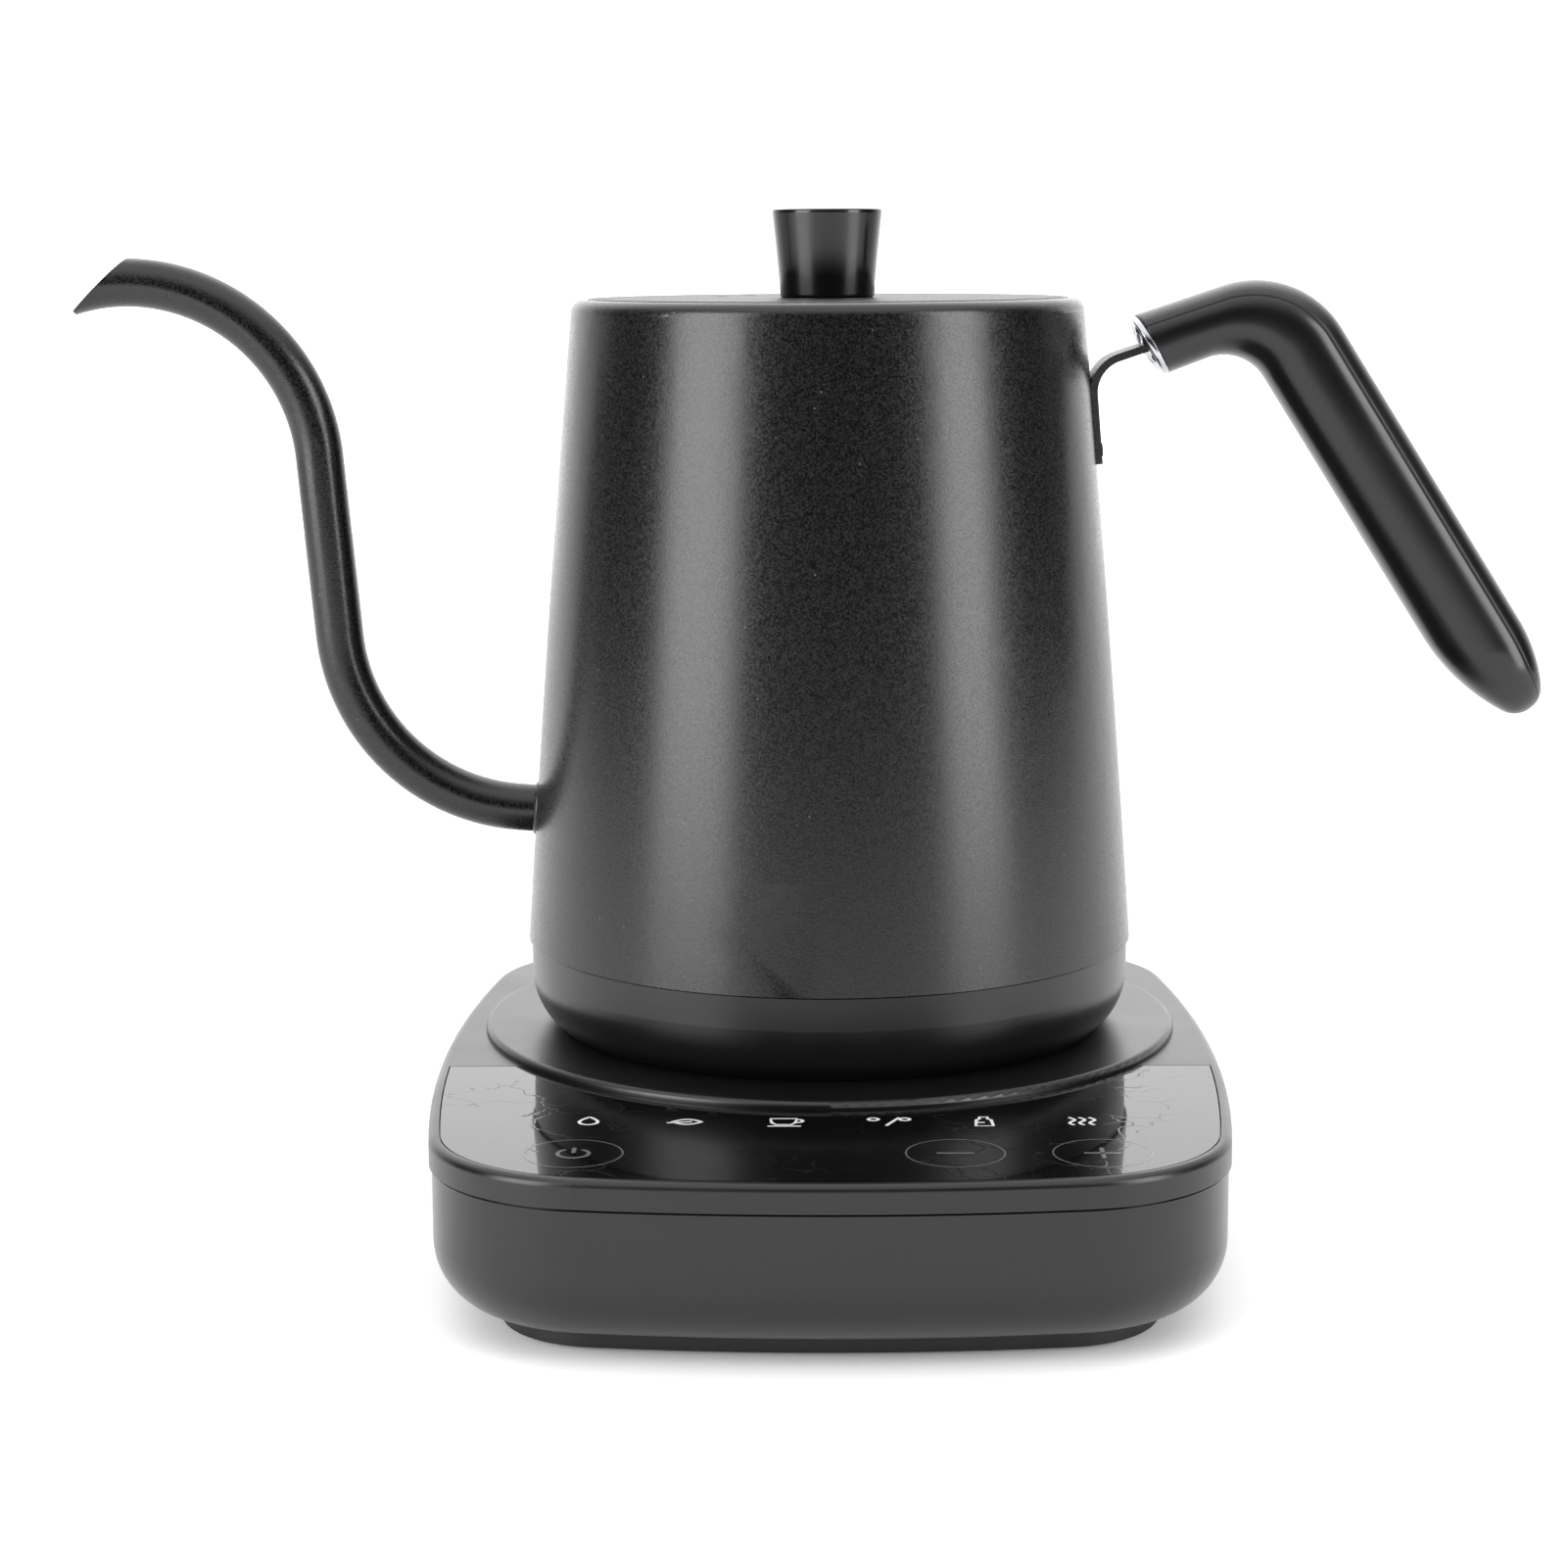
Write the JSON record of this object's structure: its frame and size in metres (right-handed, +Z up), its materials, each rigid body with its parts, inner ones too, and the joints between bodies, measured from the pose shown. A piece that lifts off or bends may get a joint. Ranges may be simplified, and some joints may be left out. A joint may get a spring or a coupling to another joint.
{
  "type": "electric kettle",
  "caption": "Gooseneck electric kettle with a cantilevered handle, a lift-off lid and a low base with a round platform and a touch panel.",
  "frame": {"origin": "on the kettle's own vertical axis, at the level of the table that the rubber feet stand on", "axes": "+Z up along the kettle's axis, -Y to the front where the touch panel is, -X to the spout and +X to the handle"},
  "size_m": [0.289, 0.1887, 0.1965],
  "materials": {
    "powder_black": "fine-grained satin black powder coat on steel",
    "satin_black": "smooth satin black heat-resistant plastic",
    "foot_black": "plain matt black plastic",
    "panel_gloss": "high-gloss black touch panel",
    "black_rubber": "soft black rubber",
    "silicone": "pale silicone rubber",
    "steel": "plain stainless steel",
    "dark_steel": "smooth black-coated steel strip",
    "cap_chrome": "polished metal cap",
    "heater_metal": "bare aluminium",
    "contact_brass": "plain brass contacts",
    "board_green": "green circuit board",
    "component_black": "moulded black component housings",
    "component_pale": "pale grey component housings",
    "can_metal": "aluminium capacitor cans"
  },
  "bodies": {
    "base": {"lower_shell": "satin_black", "foot_plate": "foot_black", "rubber_feet": "black_rubber", "base_screws": "steel", "top_cover": "satin_black", "touch_panel": "panel_gloss", "platform_plate": "satin_black", "base_connector": "satin_black", "connector_contacts": "contact_brass", "cord_gland": "black_rubber", "power_board": "board_green", "power_relay": "component_black", "power_transformer": "component_pale", "board_capacitors": "can_metal", "terminal_block": "component_pale", "buzzer": "component_black", "touch_board": "board_green", "display_module": "component_black"},
    "connector_sleeve": {"kettle_connector": "satin_black"},
    "kettle": {"kettle_body": "powder_black", "spout": "powder_black", "kettle_collar": "satin_black", "bottom_cover": "foot_black", "bottom_screws": "steel", "heater_plate": "heater_metal", "heating_element": "heater_metal", "temperature_sensor": "steel", "sensor_seal": "silicone", "thermal_cutouts": "component_black", "handle_bracket": "dark_steel", "bracket_rivet": "dark_steel", "handle_grip": "satin_black", "handle_cap": "cap_chrome"},
    "lid": {"lid_disc": "powder_black", "lid_skirt": "steel", "lid_knob": "satin_black", "knob_screw": "steel"}
  },
  "joints": [
    {"name": "kettle_lift", "type": "slide", "parent": "base", "child": "connector_sleeve", "axis": [0, 0, 1], "range_m": [0, 0.08]},
    {"name": "kettle_turn", "type": "hinge", "parent": "connector_sleeve", "child": "kettle", "pos_m": [0, 0, 0.04], "axis": [0, 0, 1], "continuous": true},
    {"name": "lid_lift", "type": "slide", "parent": "kettle", "child": "lid", "axis": [0, 0, 1], "range_m": [0, 0.06]}
  ]
}
